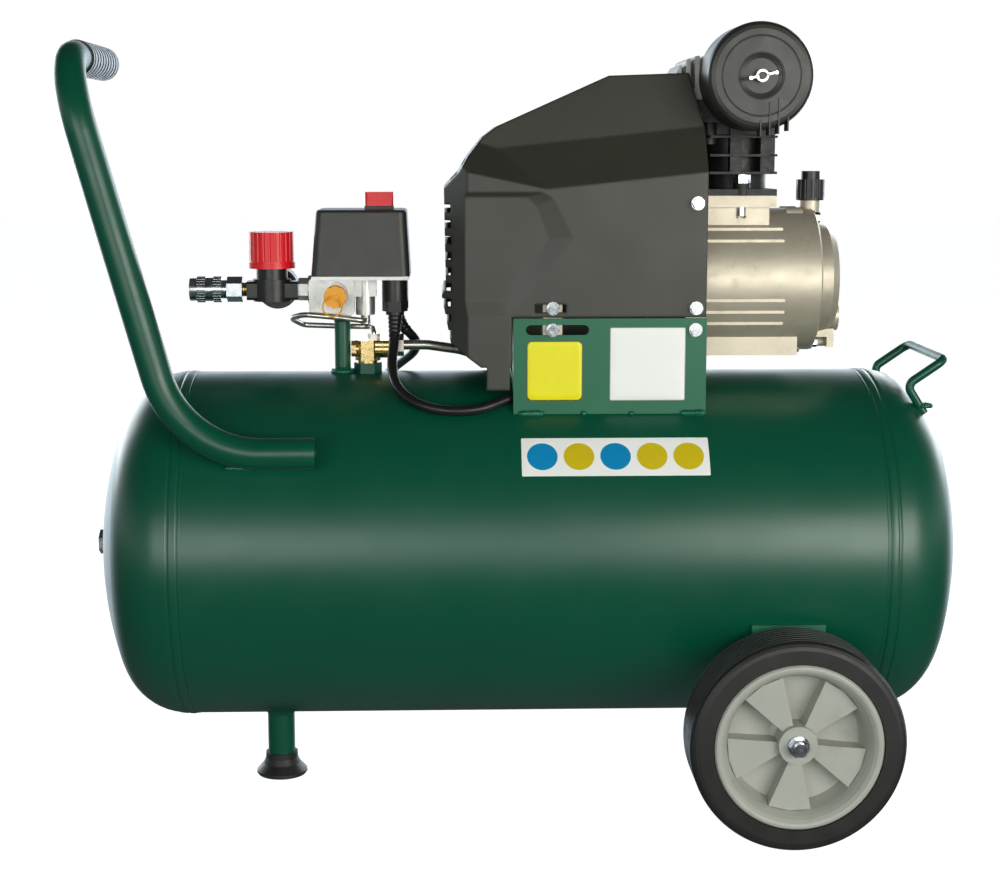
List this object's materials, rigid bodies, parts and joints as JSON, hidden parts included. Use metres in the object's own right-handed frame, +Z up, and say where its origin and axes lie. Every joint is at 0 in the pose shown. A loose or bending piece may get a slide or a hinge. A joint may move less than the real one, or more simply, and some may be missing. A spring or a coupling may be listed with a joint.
{
  "type": "portable air compressor",
  "caption": "Wheeled workshop air compressor: a horizontal tank carries a direct-drive piston pump, pressure switch, regulator, push handle and two rear wheels.",
  "frame": {"origin": "on the floor, midway along, across and between the outermost points without the mains lead", "axes": "+X runs along the tank from the push handle to the wheels, +Y towards the gauges' side, +Z up"},
  "size_m": [0.7558, 0.5355, 0.6578],
  "materials": {
    "tank_paint": "semi-gloss dark green paint",
    "zinc": "bright zinc plate",
    "cast_alloy": "shot-blasted die casting",
    "black_casting": "black painted casting",
    "black_plastic": "fine-grained black plastic",
    "switch_plastic": "fine-grained black plastic",
    "red_plastic": "red plastic",
    "yellow_plastic": "yellow plastic",
    "rim_plastic": "light grey plastic",
    "tyre_rubber": "solid black rubber",
    "rubber": "black rubber",
    "brass": "turned brass",
    "pipe_metal": "drawn aluminium tube",
    "steel": "machined steel",
    "iron": "cast iron",
    "lamination": "varnished laminations",
    "foam": "filter foam",
    "lens": "clear sight glass",
    "needle": "black",
    "cord": "black rubber cord"
  },
  "bodies": {
    "tank": {"tank_shell": "tank_paint", "tank_heads": "tank_paint", "inspection_plug": "zinc", "front_leg": "tank_paint", "front_foot": "rubber", "push_handle": "tank_paint", "handle_grip": "rubber", "lift_handle": "tank_paint", "axle_brackets": "tank_paint", "wheel_bolts": "zinc", "pump_bracket": "tank_paint", "hex_bolts": "zinc", "shroud": "black_plastic", "crankcase": "cast_alloy", "crankcase_cover": "cast_alloy", "sight_glass": "lens", "cylinder": "black_casting", "valve_plate": "steel", "cylinder_head": "cast_alloy", "head_bolts": "zinc", "bearings": "steel", "stator": "lamination", "motor_end_shield": "cast_alloy", "capacitor": "black_plastic", "filter_body": "black_plastic", "filter_cover": "black_plastic", "filter_element": "foam", "delivery_pipe": "pipe_metal", "standpipe": "tank_paint", "switch_manifold": "cast_alloy", "switch_cover": "switch_plastic", "cable_glands": "black_plastic", "unloader_tube": "pipe_metal", "check_valve": "brass", "regulator_body": "black_plastic", "coupling_body": "zinc", "gauge_cases": "black_plastic", "safety_valve": "brass", "motor_lead": "cord", "mains_lead": "cord", "mains_coil": "cord", "mains_plug": "rubber"},
    "wheel_right": {"rim_right": "rim_plastic", "tyre_right": "tyre_rubber"},
    "wheel_left": {"rim_left": "rim_plastic", "tyre_left": "tyre_rubber"},
    "crank": {"crankshaft": "steel", "rotor_core": "lamination", "cooling_fan": "black_plastic"},
    "piston": {"piston": "cast_alloy"},
    "connecting_rod": {"connecting_rod": "cast_alloy"},
    "drain_screw": {"drain_screw": "brass"},
    "switch_knob": {"switch_knob": "red_plastic"},
    "regulator_knob": {"regulator_knob": "red_plastic"},
    "coupling_sleeve": {"coupling_sleeve": "zinc"},
    "safety_valve_cap": {"safety_valve_cap": "yellow_plastic"},
    "tank_needle": {"gauge_needle_tank": "needle"},
    "outlet_needle": {"gauge_needle_outlet": "needle"},
    "wing_nut": {"wing_nut": "zinc"},
    "oil_cap": {"oil_cap": "black_plastic"}
  },
  "joints": [
    {"name": "wheel_right_spin", "type": "hinge", "parent": "tank", "child": "wheel_right", "pos_m": [0.2105, -0.172, 0.0867], "axis": [0, 1, 0], "continuous": true},
    {"name": "wheel_left_spin", "type": "hinge", "parent": "tank", "child": "wheel_left", "pos_m": [0.2105, 0.172, 0.0867], "axis": [0, 1, 0], "continuous": true},
    {"name": "crank_spin", "type": "hinge", "parent": "tank", "child": "crank", "pos_m": [0.06, 0, 0.444], "axis": [1, 0, 0], "continuous": true},
    {"name": "piston_slide", "type": "slide", "parent": "tank", "child": "piston", "axis": [0, 0, 1], "range_m": [-0.038, 0]},
    {"name": "rod_swing", "type": "hinge", "parent": "piston", "child": "connecting_rod", "pos_m": [0.18, 0, 0.559], "axis": [1, 0, 0], "range_deg": [-11.4, 11.4]},
    {"name": "drain_screw_turn", "type": "hinge", "parent": "tank", "child": "drain_screw", "pos_m": [0.2105, 0, 0.05], "axis": [0, 0, 1], "range_deg": [0, 720]},
    {"name": "switch_knob_pull", "type": "slide", "parent": "tank", "child": "switch_knob", "axis": [0, 0, 1], "range_m": [0, 0.008]},
    {"name": "regulator_knob_turn", "type": "hinge", "parent": "tank", "child": "regulator_knob", "pos_m": [-0.2185, 0, 0.47], "axis": [0, 0, 1], "range_deg": [-720, 720]},
    {"name": "coupling_sleeve_slide", "type": "slide", "parent": "tank", "child": "coupling_sleeve", "axis": [1, 0, 0], "range_m": [0, 0.004], "stiffness_N_per_m": 2000, "springref_m": -0.003},
    {"name": "safety_ring_pull", "type": "slide", "parent": "tank", "child": "safety_valve_cap", "axis": [0, -1, 0], "range_m": [0, 0.003], "stiffness_N_per_m": 4000, "springref_m": -0.002},
    {"name": "tank_needle_swing", "type": "hinge", "parent": "tank", "child": "tank_needle", "pos_m": [-0.162, 0.054, 0.432], "axis": [0, -1, 0], "range_deg": [0, 270]},
    {"name": "outlet_needle_swing", "type": "hinge", "parent": "tank", "child": "outlet_needle", "pos_m": [-0.216, 0.041, 0.435], "axis": [0, -1, 0], "range_deg": [0, 270]},
    {"name": "wing_nut_turn", "type": "hinge", "parent": "tank", "child": "wing_nut", "pos_m": [0.187, -0.098, 0.6143], "axis": [0, 1, 0], "continuous": true},
    {"name": "oil_cap_turn", "type": "hinge", "parent": "tank", "child": "oil_cap", "pos_m": [0.248, 0, 0.52], "axis": [0, 0, 1], "range_deg": [0, 720]}
  ]
}
